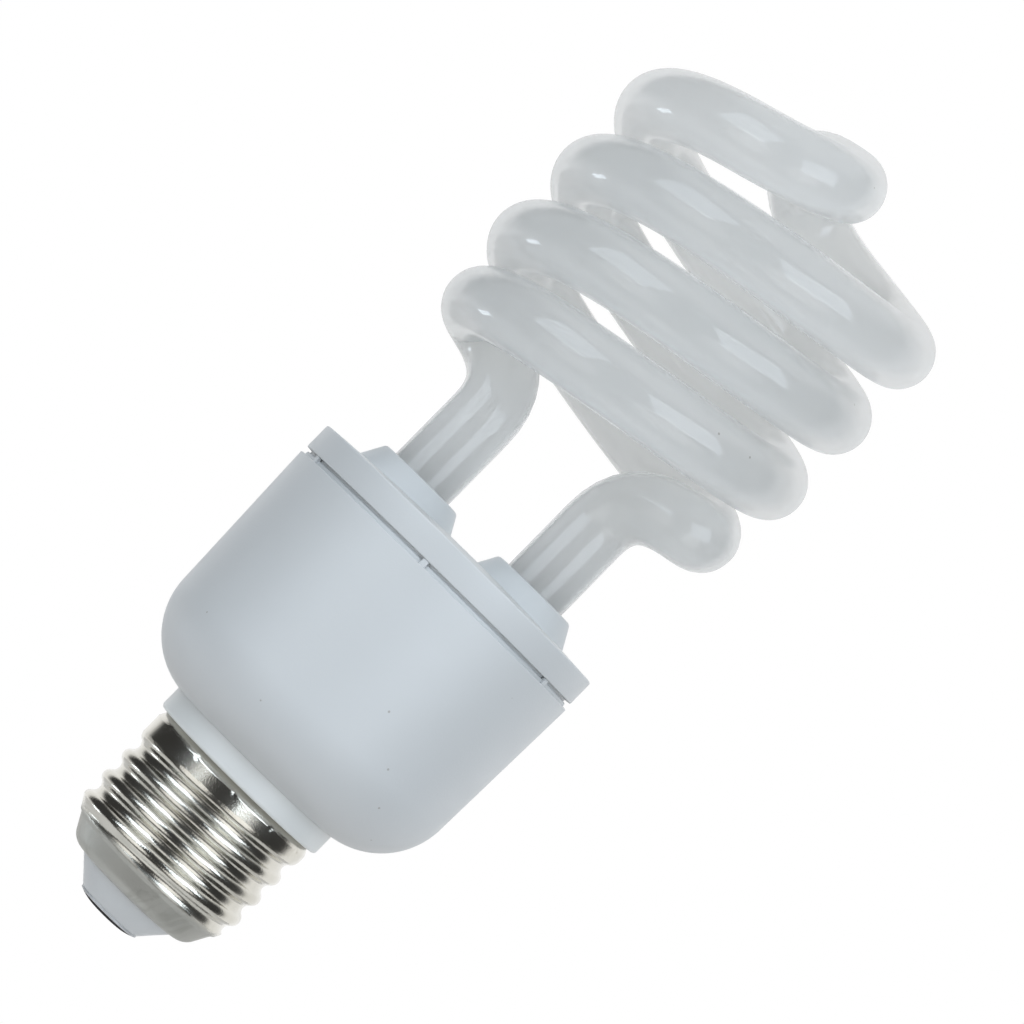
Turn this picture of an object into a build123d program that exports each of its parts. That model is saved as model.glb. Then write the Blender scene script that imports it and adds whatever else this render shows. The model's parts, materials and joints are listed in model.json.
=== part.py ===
from build123d import *
import math
import os

# Spiral compact fluorescent lamp with an E27 screw cap
# Sizes are in millimetres. The lamp's axis is Z, the cap points down and the contact's foot is at the
# origin. The two legs of the glass tube stand on the X axis.

# Screw cap
thread_diameter = 26.2
thread_pitch = 3.63
thread_depth = 1.05
thread_inset = 0.05  # the thread's crest lies this far inside the plain band
thread_sink = 0.25  # the rib's foot reaches this far into the shell's wall
thread_crest_width = 1.23
thread_foot_width = 3.19
thread_crest_round = 0.37
thread_start_drop = 0.7  # the rib starts this far below the bowl's edge
thread_run_out = 0.7  # height of the cone that ends the rib
shell_sheet = 0.3
shell_foot = 4.2  # height of the shell's lower edge over the contact's foot
shell_height = 20.15
shell_plain = 3.6  # plain band between the thread and the rim
bowl_height = 4.15  # rounded foot of the shell, below the thread
bowl_foot_diameter = 19.5
bowl_round = 2.5
mouth_diameter = 15.9  # opening in the shell's foot for the insulator
contact_diameter = 9.6
contact_dome = 0.85
contact_flat_diameter = 4.0
contact_edge = 0.22  # straight edge of the contact plate
insulator_height = 7.75  # top of the insulator inside the shell
insulator_bulge = 0.15
insulator_lip = 0.5  # the plug overlaps the shell's mouth by this much
insulator_flare = 1.1
insulator_flare_height = 1.4

# Ballast case
collar_diameter = 27.5
collar_chamfer = 0.6
collar_height = 3.2
housing_side_diameter = 46.3
housing_round = 10.9
housing_rim_diameter = 47.75
housing_side_height = 22.0  # from the end of the round to the rim
housing_wall = 1.6
rim_wall = 0.65  # wall of the rim at its thinnest place
rim_rise = 0.5  # the rim's top rises inwards by this much
ledge_depth = 8.0  # from the rim down to the board's ledge
neck_depth = 12.8  # how far the neck reaches down into the shell
neck_wall = 1.3
seam_gap = 0.9
spacer_count = 6
spacer_width = 0.9
spacer_inset = 0.15  # the spacers stay this far inside the rim's two edges
spacer_root = 1.0  # how far the spacers reach down into the rim
spacer_turn = -95.8  # angle of the first spacer, in degrees
bead_height = 0.3  # snap bead on the holder's skirt
holder_diameter = 47.5
holder_edge_height = 3.6
holder_edge_round = 0.5
holder_dome = 1.2
dome_flat = 1.0  # radius of the flat middle of the dome
holder_wall = 1.9
skirt_wall = 1.25
socket_top_diameter = 12.7
socket_foot_diameter = 16.6
socket_height = 3.7
sleeve_drop = 6.4  # how far the cement sleeves hang below the plate
sleeve_wall = 1.0
cement_wall = 1.1

# Glass tube
tube_diameter = 9.5
leg_spacing = 20.4
leg_rise = 11.0  # straight leg above its socket
hook_bend = 10.0  # pull of the straight leg on the hook's curve
hook_rises = (9.45, 10.2)  # from the straight leg to the coil's first side, right and left
hook_reaches = (12.9, 10.4)  # pull of the first side on the hook's curve, right and left
hook_slopes = (0.19, 0.115)  # climb of the first side, right and left
hook_inset = 1.45  # how far the first side stays inside the coil
coil_diameter = 54.0
coil_pitch = 23.65
coil_rise = 14.5  # from the straight leg to the start of the even helix
coil_turn = 510.0  # length of the even helix, in degrees
side_reach = 12.0  # pull on both ends of the curve from the hook to the helix
bridge_rise = 6.65  # from the end of the helix to the bridge over the axis
bridge_turn = 118.5  # heading of the bridge over the axis, in degrees
bridge_reach = 14.0  # pull of the helix on the bridge's curve
crossing_reach = 13.5  # pull of the crossing over the axis on the bridge's curve
pinch_width = 7.6
pinch_thickness = 2.4
pinch_height = 3.4
pinch_round = 1.0
leg_foot_drop = 3.4  # end of the round leg below the holder's plate

# Ballast board and its parts
board_thickness = 1.6
lead_diameter = 0.7
lead_stub = 0.8  # how far leads stand out of the board
lead_root = 1.0  # how far leads reach into a body
stand_off = 0.3  # gap between the board and the bodies under it
core_width = 16.0
core_height = 14.4
core_thickness = 4.8
core_limb = 4.0
core_back = 2.0
bobbin_wall = 0.7
winding_depth = 2.2
winding_fill = 1.76  # thickness of the wound wire
winding_round = 1.2
rail_inset = 0.4
choke_place = 10.5
choke_pin_span = (10.2, 8.4)
choke_pin_seat = 2.0
bulk_diameter = 10.0
bulk_length = 20.0
bulk_place = -3.6
bulk_pitch = 5.0
bulk_edge = 0.6
bulk_groove_drop = 2.2  # from the can's top to its rolled groove
bulk_groove_section = 0.6
bulk_groove_depth = 0.4
film_size = (4.6, 10.0, 9.0)
film_place = (-14.0, 0.0)
film_pitch = 7.5
film_round = 1.2
coupling_size = (6.5, 4.0, 8.0)
coupling_place = (-1.2, 13.0)
coupling_pitch = 5.0
transistor_size = (7.6, 2.7, 11.0)
transistor_places = (-4.4, 3.8)
transistor_row = -13.0
transistor_pitch = 2.3
transistor_drop = 1.4  # gap between the board and the transistors
bolt_diameter = 3.1
bolt_height = 3.0
ring_diameter = 8.0
ring_bore = 4.4
ring_height = 3.2
ring_place = (8.0, 13.3)
ring_wire = 0.4
ring_wire_gap = 0.02
ring_wire_bend = 0.25
drum_diameter = 6.0
drum_length = 8.0
drum_place = (-12.6, -11.6)
drum_pitch = 3.0
drum_chamfer = 0.5
edge_row_inset = 5.0  # small parts stand this far inside the board's edge
standing_pitch = 2.6  # between the two leads of a part that stands on end
standing_gap = 0.4  # between the board and a part that stands on end
standing_loop = 1.8  # its far lead loops this far below its body
standing_bend = 0.9
standing_chamfer = 0.25
diode_diameter = 2.7
diode_length = 5.2
resistor_diameter = 2.3
resistor_length = 6.2
trigger_diameter = 1.9
trigger_length = 3.6
diode_angles = (114.0, 127.0, 140.0, 153.0)
resistor_angles = (-56.0, -46.0, -36.0)
trigger_angle = -140.0
trigger_row = 12.3
fuse_diameter = 3.6
fuse_length = 9.0
fuse_foot = 13.0
fuse_round = 0.8
fuse_lead_rise = 3.0  # straight lead over the fusible resistor
fuse_lead_bend = 1.5
lead_channel = 3.1  # the contact's lead passes the choke here
shell_lead_row = -9.4
shell_lead_drop = 16.0  # straight run of the shell's wire under the board
shell_lead_foot = 1.0  # the shell's wire turns outwards this far below the neck
wire_diameter = 0.8
wire_bend = 1.0
post_width = 0.9
post_height = 8.6
post_place = (17.2, 5.4)
post_foot = 1.2  # how far the posts reach below the board
tube_lead_diameter = 0.5
tube_lead_bend = 0.4
tube_lead_level = 0.9  # height of the tube's wires over the board
tube_lead_spread = 4.0  # between the two wires of one pinch

# Fits
slip_fit = 0.1
board_fit = 0.25
hole_fit = 0.1
mouth_fit = 0.05
weld_fit = 0.01

# Heights and radii that follow from the sizes above
crest_radius = thread_diameter / 2
root_radius = crest_radius - thread_depth
rim_height = shell_foot + shell_height
collar_top = rim_height + collar_height
collar_radius = collar_diameter / 2
side_radius = housing_side_diameter / 2
round_centre = side_radius - housing_round
round_height = collar_top + math.sqrt(housing_round**2 - (collar_radius - round_centre) ** 2)
housing_top = round_height + housing_side_height
housing_rim_radius = housing_rim_diameter / 2
board_foot = housing_top - ledge_depth
housing_draft = (housing_rim_radius - side_radius) / housing_side_height
ledge_radius = side_radius + housing_draft * (board_foot - round_height)
lip_radius = min(ledge_radius, housing_rim_radius) - rim_wall
board_top = board_foot + board_thickness
board_radius = lip_radius - board_fit
lead_tip = board_top + lead_stub
body_top = board_foot - stand_off
core_foot = body_top - core_height
edge_row = board_radius - edge_row_inset
skirt_radius = lip_radius - slip_fit
holder_foot = housing_top + seam_gap
holder_edge = holder_foot + holder_edge_height
plate_foot = holder_edge - holder_wall
socket_top = holder_edge + socket_height
sleeve_foot = plate_foot - sleeve_drop
bead_middle = (holder_foot + board_top) / 2
tube_radius = tube_diameter / 2
socket_bore = tube_radius + slip_fit
cement_radius = tube_radius + cement_wall
leg_place = leg_spacing / 2
leg_foot = plate_foot - leg_foot_drop
pinch_foot = leg_foot - pinch_height
leg_top = socket_top + leg_rise
coil_radius = (coil_diameter - tube_diameter) / 2
helix_foot = leg_top + coil_rise
bridge_height = helix_foot + coil_pitch * coil_turn / 360 + bridge_rise
neck_radius = root_radius - shell_sheet - slip_fit
neck_bore = neck_radius - neck_wall
neck_foot = rim_height - neck_depth
mouth_radius = mouth_diameter / 2
post_radius = post_width / 2


def turned(*outline):
    """A solid turned about the lamp's axis from a closed outline of radii and heights."""
    return revolve(Plane.XZ * make_face(outline), Axis.Z)


def round_bar(foot, top, diameter, place=(0, 0)):
    """An upright cylinder between two heights."""
    return Pos(*place, foot) * extrude(Circle(diameter / 2), top - foot)


def block(foot, top, width, depth, place=(0, 0)):
    """An upright rectangular block between two heights."""
    return Pos(*place, foot) * extrude(Rectangle(width, depth), top - foot)


def wire(diameter, bend, *points):
    """A wire of straight runs with a round bend at each corner."""
    path = FilletPolyline(*points, radius=bend) if len(points) > 2 else Line(*points)
    return sweep(Plane(path @ 0, z_dir=path % 0) * Circle(diameter / 2), path=path)


def polar(row, angle):
    """A place on the board, from its distance to the axis and its angle in degrees."""
    return (row * math.cos(math.radians(angle)), row * math.sin(math.radians(angle)))


# Glass tube
def helix_place(turn):
    """A point of the even helix, by its angle in degrees from the X axis."""
    return Vector(*polar(coil_radius, turn), helix_foot + coil_pitch * (turn - 90) / 360)


def helix_heading(turn):
    """The helix's direction at that angle."""
    return Vector(*polar(coil_radius, turn + 90), coil_pitch / (2 * math.pi)).normalized()


def tube_half_path(rise, reach, slope):
    """Centreline of one leg, its hook, its turns and its half of the bridge."""
    hook_end = Vector(coil_radius - hook_inset, 0, leg_top + rise)
    hook_heading = Vector(0, 1, slope).normalized()
    leg_end = Vector(leg_place, 0, leg_top)
    leg = Line((leg_place, 0, leg_foot), leg_end)
    hook = Bezier(leg_end, leg_end + Vector(0, 0, hook_bend), hook_end - hook_heading * reach, hook_end)
    first, last = 90, 90 + coil_turn
    start, finish = helix_place(first), helix_place(last)
    side_pull = hook_heading * side_reach
    helix_pull = helix_heading(first) * side_reach
    side = Bezier(hook_end, hook_end + side_pull, start - helix_pull, start)
    turns = Pos(0, 0, helix_foot) * Rot(0, 0, first) * Helix(coil_pitch, finish.Z - start.Z, coil_radius)
    top = Vector(0, 0, bridge_height)
    over = Vector(*polar(1, bridge_turn), 0)
    bridge = Bezier(finish, finish + helix_heading(last) * bridge_reach, top - over * crossing_reach, top)
    return Wire([leg.edge(), hook.edge(), side.edge(), turns.edge(), bridge.edge()])


def tube_strand(rise, reach, slope):
    """One strand of the tube, from its flat pinch to the middle of the bridge."""
    foot = Plane((leg_place, 0, leg_foot)) * Circle(tube_radius)
    strand = sweep(foot, path=tube_half_path(rise, reach, slope))
    flat_end = RectangleRounded(pinch_thickness, pinch_width, pinch_round)
    pinch_end = Plane((leg_place, 0, pinch_foot)) * flat_end
    return strand + loft([pinch_end.face(), foot.face()])


def spiral_tube():
    """The sealed tube: two strands half a turn apart, with slightly different hooks, joined in the bridge."""
    right, left = [tube_strand(*hook) for hook in zip(hook_rises, hook_reaches, hook_slopes)]
    return right + Rot(0, 0, 180) * left


# Screw cap
def thread_rib(crest, root):
    """The thread's helical rib, with a round crest, run out on a cone at its lower end."""
    inside = root - thread_sink
    half_foot = thread_foot_width / 2
    half_crest = thread_crest_width / 2
    shoulder = crest - thread_crest_round
    start = shell_foot + bowl_height - thread_start_drop
    rise = rim_height - shell_plain + thread_run_out - thread_sink - start
    rib_outline = [
        Polyline((shoulder, -half_crest), (inside, -half_foot), (inside, half_foot), (shoulder, half_crest)),
        ThreePointArc((shoulder, half_crest), (crest, 0), (shoulder, -half_crest)),
    ]
    section = Plane((0, 0, start), x_dir=(1, 0, 0), z_dir=(0, -1, 0)) * make_face(rib_outline)
    rib = sweep(section, path=Pos(0, 0, start) * Helix(thread_pitch, rise, crest), is_frenet=True)
    cone_foot = start + thread_sink
    run_out = Polyline(
        (0, cone_foot),
        (root - 2 * thread_sink, cone_foot),
        (crest + thread_sink, cone_foot + thread_depth + thread_run_out),
        (crest + thread_sink, rim_height),
        (0, rim_height),
        close=True,
    )
    return rib & turned(run_out)


def shell_form(inset, top):
    """The shell's form as a filled solid, drawn in by the inset for its inner side."""
    crest = crest_radius - inset
    root = root_radius - inset
    foot = shell_foot + inset
    plain_foot = rim_height - shell_plain
    outline = Polyline(
        (0, foot),
        (bowl_foot_diameter / 2 - inset, foot),
        (root, shell_foot + bowl_height),
        (root, plain_foot - thread_depth),
        (crest, plain_foot),
        (crest, top),
        (0, top),
        close=True,
    )
    form = turned(outline)
    bowl_edge = form.edges().filter_by(GeomType.CIRCLE).group_by(Axis.Z)[0]
    return fillet(bowl_edge, bowl_round - inset) + thread_rib(crest - thread_inset, root)


def screw_shell():
    """The rolled sheet shell, threaded inside and out, open at the rim and at the mouth."""
    shell = shell_form(0, rim_height) - shell_form(shell_sheet, rim_height + 1)
    return shell - round_bar(0, rim_height, mouth_diameter)


def cap_insulator():
    """The insulator: a cone under the shell, a waist in its mouth and a plug inside it."""
    waist = mouth_radius - slip_fit
    waist_foot = shell_foot - mouth_fit
    lip_top = shell_foot + shell_sheet + mouth_fit
    plug = waist + insulator_lip + insulator_flare
    contact_radius = contact_diameter / 2
    middle_radius = (contact_radius + waist) / 2 + insulator_bulge
    middle_height = (contact_dome + waist_foot) / 2 - insulator_bulge
    cone = ThreePointArc((contact_radius, contact_dome), (middle_radius, middle_height), (waist, waist_foot))
    upper = Polyline(
        (waist, waist_foot),
        (waist, lip_top),
        (waist + insulator_lip, lip_top),
        (plug, lip_top + insulator_flare_height),
        (plug, insulator_height),
        (wire_diameter, insulator_height),
        (wire_diameter, contact_dome),
        (contact_radius, contact_dome),
    )
    return turned(cone, upper)


def centre_contact():
    """The contact plate: a low dome with a flat foot."""
    flat = contact_flat_diameter / 2
    edge = contact_diameter / 2
    dome_top = contact_dome - contact_edge
    dome = TangentArc((flat, 0), (edge, dome_top), tangent=(1, 0))
    rest = Polyline((edge, dome_top), (edge, contact_dome), (0, contact_dome), (0, 0), (flat, 0))
    return turned(dome, rest)


# Ballast case
def case_side(inset, height):
    """Radius of the housing's drafted side at a height."""
    return side_radius + housing_draft * (height - round_height) - inset


def ballast_housing():
    """The lower cup with its collar, its neck in the shell, its board ledge and its spacers."""
    seat_radius = crest_radius - shell_sheet - slip_fit
    seat_foot = rim_height - shell_plain + slip_fit
    round_foot = round_height - math.sqrt(housing_round**2 - (collar_radius - round_centre) ** 2)
    corner = housing_round * math.sqrt(0.5)
    outside = [
        Polyline(
            (0, neck_foot),
            (neck_radius, neck_foot),
            (neck_radius, seat_foot - thread_depth),
            (seat_radius, seat_foot),
            (seat_radius, rim_height),
            (collar_radius - collar_chamfer, rim_height),
            (collar_radius, rim_height + collar_chamfer),
            (collar_radius, round_foot),
        ),
        ThreePointArc(
            (collar_radius, round_foot),
            (round_centre + corner, round_height - corner),
            (side_radius, round_height),
        ),
        Polyline(
            (side_radius, round_height),
            (housing_rim_radius, housing_top),
            (lip_radius, housing_top + rim_rise),
            (0, housing_top + rim_rise),
            (0, neck_foot),
        ),
    ]
    inner_round = housing_round - housing_wall
    inner_corner = inner_round * math.sqrt(0.5)
    inner_foot = round_height - inner_round
    inside = [
        Polyline(
            (round_centre, inner_foot),
            (neck_bore, inner_foot),
            (neck_bore, 0),
            (0, 0),
            (0, holder_foot),
            (lip_radius, holder_foot),
            (lip_radius, bead_middle + 2 * bead_height),
            (lip_radius + bead_height, bead_middle),
            (lip_radius, bead_middle - 2 * bead_height),
            (lip_radius, board_foot),
            (case_side(housing_wall, board_foot), board_foot),
            (side_radius - housing_wall, round_height),
        ),
        ThreePointArc(
            (side_radius - housing_wall, round_height),
            (round_centre + inner_corner, round_height - inner_corner),
            (round_centre, inner_foot),
        ),
    ]
    cup = turned(*outside) - turned(*inside)
    rim_width = housing_rim_radius - lip_radius
    spacer_place = (lip_radius + rim_width / 2 - slip_fit, 0)
    spacer_depth = rim_width - 2 * spacer_inset
    spacer = block(housing_top - spacer_root, holder_foot, spacer_depth, spacer_width, spacer_place)
    for index in range(spacer_count):
        cup += Rot(0, 0, spacer_turn + 360 * index / spacer_count) * spacer
    return cup


def tube_holder():
    """The upper cover: a low dome with two tapered sockets, cement sleeves and a snap skirt."""
    edge_radius = holder_diameter / 2
    shoulder = edge_radius - holder_edge_round
    dome_top = holder_edge + holder_dome
    skirt_foot = board_top + 2 * slip_fit
    bore = skirt_radius - skirt_wall
    edge_foot = (edge_radius, holder_edge - holder_edge_round)
    top_edge = TangentArc(edge_foot, (shoulder, holder_edge), tangent=(0, 1))
    run = shoulder - dome_flat
    sphere = (run**2 + holder_dome**2) / (2 * holder_dome)
    halfway = dome_top - sphere + math.sqrt(sphere**2 - run**2 / 4)
    dome = ThreePointArc((shoulder, holder_edge), (dome_flat + run / 2, halfway), (dome_flat, dome_top))
    rest = Polyline(
        (dome_flat, dome_top),
        (0, dome_top),
        (0, plate_foot),
        (bore, plate_foot),
        (bore, skirt_foot),
        (skirt_radius, skirt_foot),
        (skirt_radius, bead_middle - 2 * bead_height),
        (skirt_radius + bead_height, bead_middle),
        (skirt_radius, bead_middle + 2 * bead_height),
        (skirt_radius, holder_foot),
        (edge_radius, holder_foot),
        edge_foot,
    )
    cover = turned(top_edge, dome, rest)
    boss = Pos(0, 0, holder_edge) * Cone(
        socket_foot_diameter / 2,
        socket_top_diameter / 2,
        socket_height,
        align=(Align.CENTER, Align.CENTER, Align.MIN),
    )
    sleeve = round_bar(sleeve_foot, plate_foot + holder_wall / 2, 2 * (cement_radius + sleeve_wall))
    for place in (-leg_place, leg_place):
        cover += Pos(place, 0, 0) * boss
        cover += Pos(place, 0, 0) * sleeve
    for place in (-leg_place, leg_place):
        cover -= round_bar(sleeve_foot - 1, socket_top + 1, 2 * socket_bore, (place, 0))
        cover -= round_bar(sleeve_foot - 1, plate_foot, 2 * cement_radius, (place, 0))
    return cover


def tube_cement():
    """The cement between each leg and its sleeve."""
    ring = round_bar(leg_foot, plate_foot, 2 * cement_radius) - round_bar(leg_foot, plate_foot, tube_diameter)
    return Compound([Pos(place, 0, 0) * ring for place in (-leg_place, leg_place)])


# Ballast board
def standing_spots(row, angle):
    """The two lead holes of a small part that stands on end, its second lead nearer the axis."""
    return [polar(row, angle), polar(row - standing_pitch, angle)]


def pair_spots(place, gap, along_x=True):
    """Two lead holes on either side of a place."""
    across = (gap / 2, 0) if along_x else (0, gap / 2)
    return [(place[0] + sign * across[0], place[1] + sign * across[1]) for sign in (-1, 1)]


def transistor_spots(place):
    """The three lead holes of a transistor."""
    return [(place + step * transistor_pitch, transistor_row) for step in (-1, 0, 1)]


choke_span, choke_row = choke_pin_span
choke_ends = [(choke_place + choke_span * side / 2, choke_row / 2) for side in (-1, 1)]
choke_spots = [(spot_x, end * spot_y) for spot_x, spot_y in choke_ends for end in (-1, 1)]
bulk_spots = pair_spots((bulk_place, 0), bulk_pitch, along_x=False)
film_spots = pair_spots(film_place, film_pitch, along_x=False)
coupling_spots = pair_spots(coupling_place, coupling_pitch)
drum_spots = pair_spots(drum_place, drum_pitch)
diode_spots = [standing_spots(edge_row, angle) for angle in diode_angles]
resistor_spots = [standing_spots(edge_row, angle) for angle in resistor_angles]
trigger_spots = standing_spots(trigger_row, trigger_angle)
post_spots = [(post_place[0] * side, post_place[1] * end) for side in (-1, 1) for end in (-1, 1)]


def circuit_board():
    """The round board with a hole for each lead, post and wire."""
    spots = choke_spots + bulk_spots + film_spots + coupling_spots + drum_spots + trigger_spots
    spots += sum(diode_spots + resistor_spots, [])
    spots += sum((transistor_spots(place) for place in transistor_places), [])
    board = round_bar(board_foot, board_top, 2 * board_radius)
    holes = [round_bar(board_foot, board_top, lead_diameter + 2 * hole_fit, spot) for spot in spots]
    for spot in ((lead_channel, 0), (lead_channel, shell_lead_row)):
        holes.append(round_bar(board_foot, board_top, wire_diameter + 2 * hole_fit, spot))
    for spot in post_spots:
        holes.append(block(board_foot, board_top, post_width + hole_fit, post_width + hole_fit, spot))
    return board - holes


def with_leads(body, spots):
    """A body under the board with a straight lead up through each of its holes."""
    for spot in spots:
        body += round_bar(body_top - lead_root, lead_tip, lead_diameter, spot)
    return body


def standing_part(spots, diameter, length):
    """A small axial part that stands on end under the board, its far lead bent back up."""
    (body_x, body_y), (back_x, back_y) = spots
    top = board_foot - standing_gap
    low = top - length - standing_loop
    lead = wire(
        lead_diameter,
        standing_bend,
        (body_x, body_y, lead_tip),
        (body_x, body_y, low),
        (back_x, back_y, low),
        (back_x, back_y, lead_tip),
    )
    body = round_bar(top - length, top, diameter, spots[0])
    return chamfer(body.edges().filter_by(GeomType.CIRCLE), standing_chamfer) + lead


def standing_row(rows, diameter, length):
    """Several equal parts that stand on end, one for each pair of lead holes."""
    return Compound([standing_part(spots, diameter, length) for spots in rows])


def film_part(size, place, spots):
    """A dipped film capacitor: a block with rounded edges on two leads."""
    width, depth, height = size
    body = block(body_top - height, body_top, width, depth, place)
    return with_leads(fillet(body.edges(), film_round), spots)


def choke_core():
    """Two E-shaped ferrite halves whose limbs meet."""
    half_height = core_height / 2
    window = (core_width - core_limb) / 2 - core_limb / 2
    half = block(0, half_height, core_thickness, core_width)
    for side in (-1, 1):
        slot_place = (0, side * (core_limb + window) / 2)
        half -= block(core_back, half_height, core_thickness, window, slot_place)
    upper = Pos(choke_place, 0, body_top) * Rot(180, 0, 0) * half
    return Compound([Pos(choke_place, 0, core_foot) * half, upper])


def choke_bobbin():
    """The moulded bobbin: a sleeve, two flanges and two pin rails up to the board."""
    foot = core_foot + core_back + slip_fit
    top = body_top - core_back - slip_fit
    inner = (core_thickness + 2 * slip_fit, core_limb + 2 * slip_fit)
    outer = (inner[0] + 2 * bobbin_wall, inner[1] + 2 * bobbin_wall)
    flange = (outer[0] + 2 * winding_depth, outer[1] + 2 * winding_depth)
    place = (choke_place, 0)
    body = block(foot, top, *outer, place)
    body += block(foot, foot + bobbin_wall, *flange, place)
    body += block(top - bobbin_wall, top, *flange, place)
    rail_place = (inner[0] + flange[0]) / 4 + rail_inset / 2
    for side in (-1, 1):
        rail_width = (flange[0] - inner[0]) / 2 - rail_inset
        rail_spot = (choke_place + side * rail_place, 0)
        body += block(top - bobbin_wall, board_foot, rail_width, flange[1], rail_spot)
    body -= block(foot, top, *inner, place)
    for spot in choke_spots:
        body -= round_bar(board_foot - choke_pin_seat, board_foot, lead_diameter, spot)
    return body


def choke_winding():
    """The wound wire as one block round the bobbin's sleeve."""
    foot = core_foot + core_back + slip_fit + bobbin_wall
    top = body_top - core_back - slip_fit - bobbin_wall
    inner = (core_thickness + 2 * slip_fit + 2 * bobbin_wall, core_limb + 2 * slip_fit + 2 * bobbin_wall)
    outer = (inner[0] + 2 * winding_fill, inner[1] + 2 * winding_fill)
    coil = block(foot, top, *outer, (choke_place, 0))
    coil = fillet(coil.edges().filter_by(Axis.Z), winding_round)
    return coil - block(foot, top, *inner, (choke_place, 0))


def choke_pins():
    """The four pins pressed into the bobbin's rails."""
    foot = board_foot - choke_pin_seat
    return Compound([round_bar(foot, lead_tip, lead_diameter, spot) for spot in choke_spots])


def bulk_capacitor():
    """The electrolytic can, with its rolled groove."""
    can = round_bar(body_top - bulk_length, body_top, bulk_diameter, (bulk_place, 0))
    can = fillet(can.edges().filter_by(GeomType.CIRCLE), bulk_edge)
    groove_row = bulk_diameter / 2 + bulk_groove_section - bulk_groove_depth
    groove = Pos(bulk_place, 0, body_top - bulk_groove_drop) * Torus(groove_row, bulk_groove_section)
    return with_leads(can - groove, bulk_spots)


def power_transistors():
    """Two flat transistors that stand on their leads."""
    width, depth, height = transistor_size
    top = board_foot - transistor_drop
    parts = []
    for place in transistor_places:
        body = block(top - height, top, width, depth, (place, transistor_row))
        bolt_place = Pos(place, transistor_row, top - height + bolt_height) * Rot(90, 0, 0)
        body -= bolt_place * Cylinder(bolt_diameter / 2, 2 * depth)
        for spot in transistor_spots(place):
            body += round_bar(top - lead_root, lead_tip, lead_diameter, spot)
        parts.append(body)
    return Compound(parts)


def drive_ring():
    """The ring core of the drive transformer, flat against its windings under the board."""
    top = board_foot - 2 * ring_wire
    ring = round_bar(top - ring_height, top, ring_diameter, ring_place)
    return ring - round_bar(top - ring_height, top, ring_bore, ring_place)


def drive_windings():
    """Three windings of three turns each round the ring core."""
    top = board_foot - 2 * ring_wire
    gap = ring_wire / 2 + ring_wire_gap
    inner, outer = ring_bore / 2 - gap, ring_diameter / 2 + gap
    low, high = top - ring_height - gap, top + gap
    corners = [(inner, 0, low), (outer, 0, low), (outer, 0, high), (inner, 0, high)]
    path = FilletPolyline(*corners, radius=ring_wire_bend, close=True)
    loop = sweep(Plane(path @ 0, z_dir=path % 0) * Circle(ring_wire / 2), path=path)
    angles = [120 * group + 28 * turn for group in range(3) for turn in range(3)]
    return Compound([Pos(*ring_place, 0) * Rot(0, 0, angle) * loop for angle in angles])


def filter_choke():
    """A small wound drum in its sleeve."""
    body = round_bar(body_top - drum_length, body_top, drum_diameter, drum_place)
    return with_leads(chamfer(body.edges().filter_by(GeomType.CIRCLE), drum_chamfer), drum_spots)


def fusible_resistor():
    """The resistor in the contact's lead, upright in the neck."""
    body = round_bar(fuse_foot, fuse_foot + fuse_length, fuse_diameter)
    return fillet(body.edges().filter_by(GeomType.CIRCLE), fuse_round)


# Wires
def contact_lead():
    """The wire from the contact to the fusible resistor, and on to the board."""
    fuse_top = fuse_foot + fuse_length
    lower = wire(wire_diameter, wire_bend, (0, 0, contact_dome), (0, 0, fuse_foot))
    upper = wire(
        wire_diameter,
        fuse_lead_bend,
        (0, 0, fuse_top),
        (0, 0, fuse_top + fuse_lead_rise),
        (lead_channel, 0, fuse_top + fuse_lead_rise + lead_channel),
        (lead_channel, 0, lead_tip),
    )
    return Compound([lower, upper])


def shell_lead():
    """The wire from the board down the neck and out to the shell's wall."""
    low = neck_foot - shell_lead_foot
    inside = -(neck_bore - wire_diameter)
    bowl_wall = root_radius - shell_sheet
    end = math.sqrt(bowl_wall**2 - wire_diameter**2 / 4) - weld_fit
    return wire(
        wire_diameter,
        wire_bend,
        (lead_channel, shell_lead_row, lead_tip),
        (lead_channel, shell_lead_row, board_foot - shell_lead_drop),
        (0, inside, rim_height),
        (0, inside, low),
        (0, -end, low),
    )


def wire_posts():
    """The four square posts on the board."""
    foot = board_foot - post_foot
    top = foot + post_height
    return Compound([block(foot, top, post_width, post_width, spot) for spot in post_spots])


def tube_leads():
    """Four wires from the tube's pinches, each bent out to its post."""
    level = board_top + tube_lead_level
    leads = []
    for side in (-1, 1):
        for end in (-1, 1):
            start_x, start_y = side * leg_place, end * tube_lead_spread / 2
            post_face, post_y = side * (post_place[0] - post_radius), end * post_place[1]
            leads.append(
                wire(
                    tube_lead_diameter,
                    tube_lead_bend,
                    (start_x, start_y, pinch_foot),
                    (start_x, start_y, level),
                    (start_x, post_y, level),
                    (post_face, post_y, level),
                )
            )
    return Compound(leads)


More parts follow.
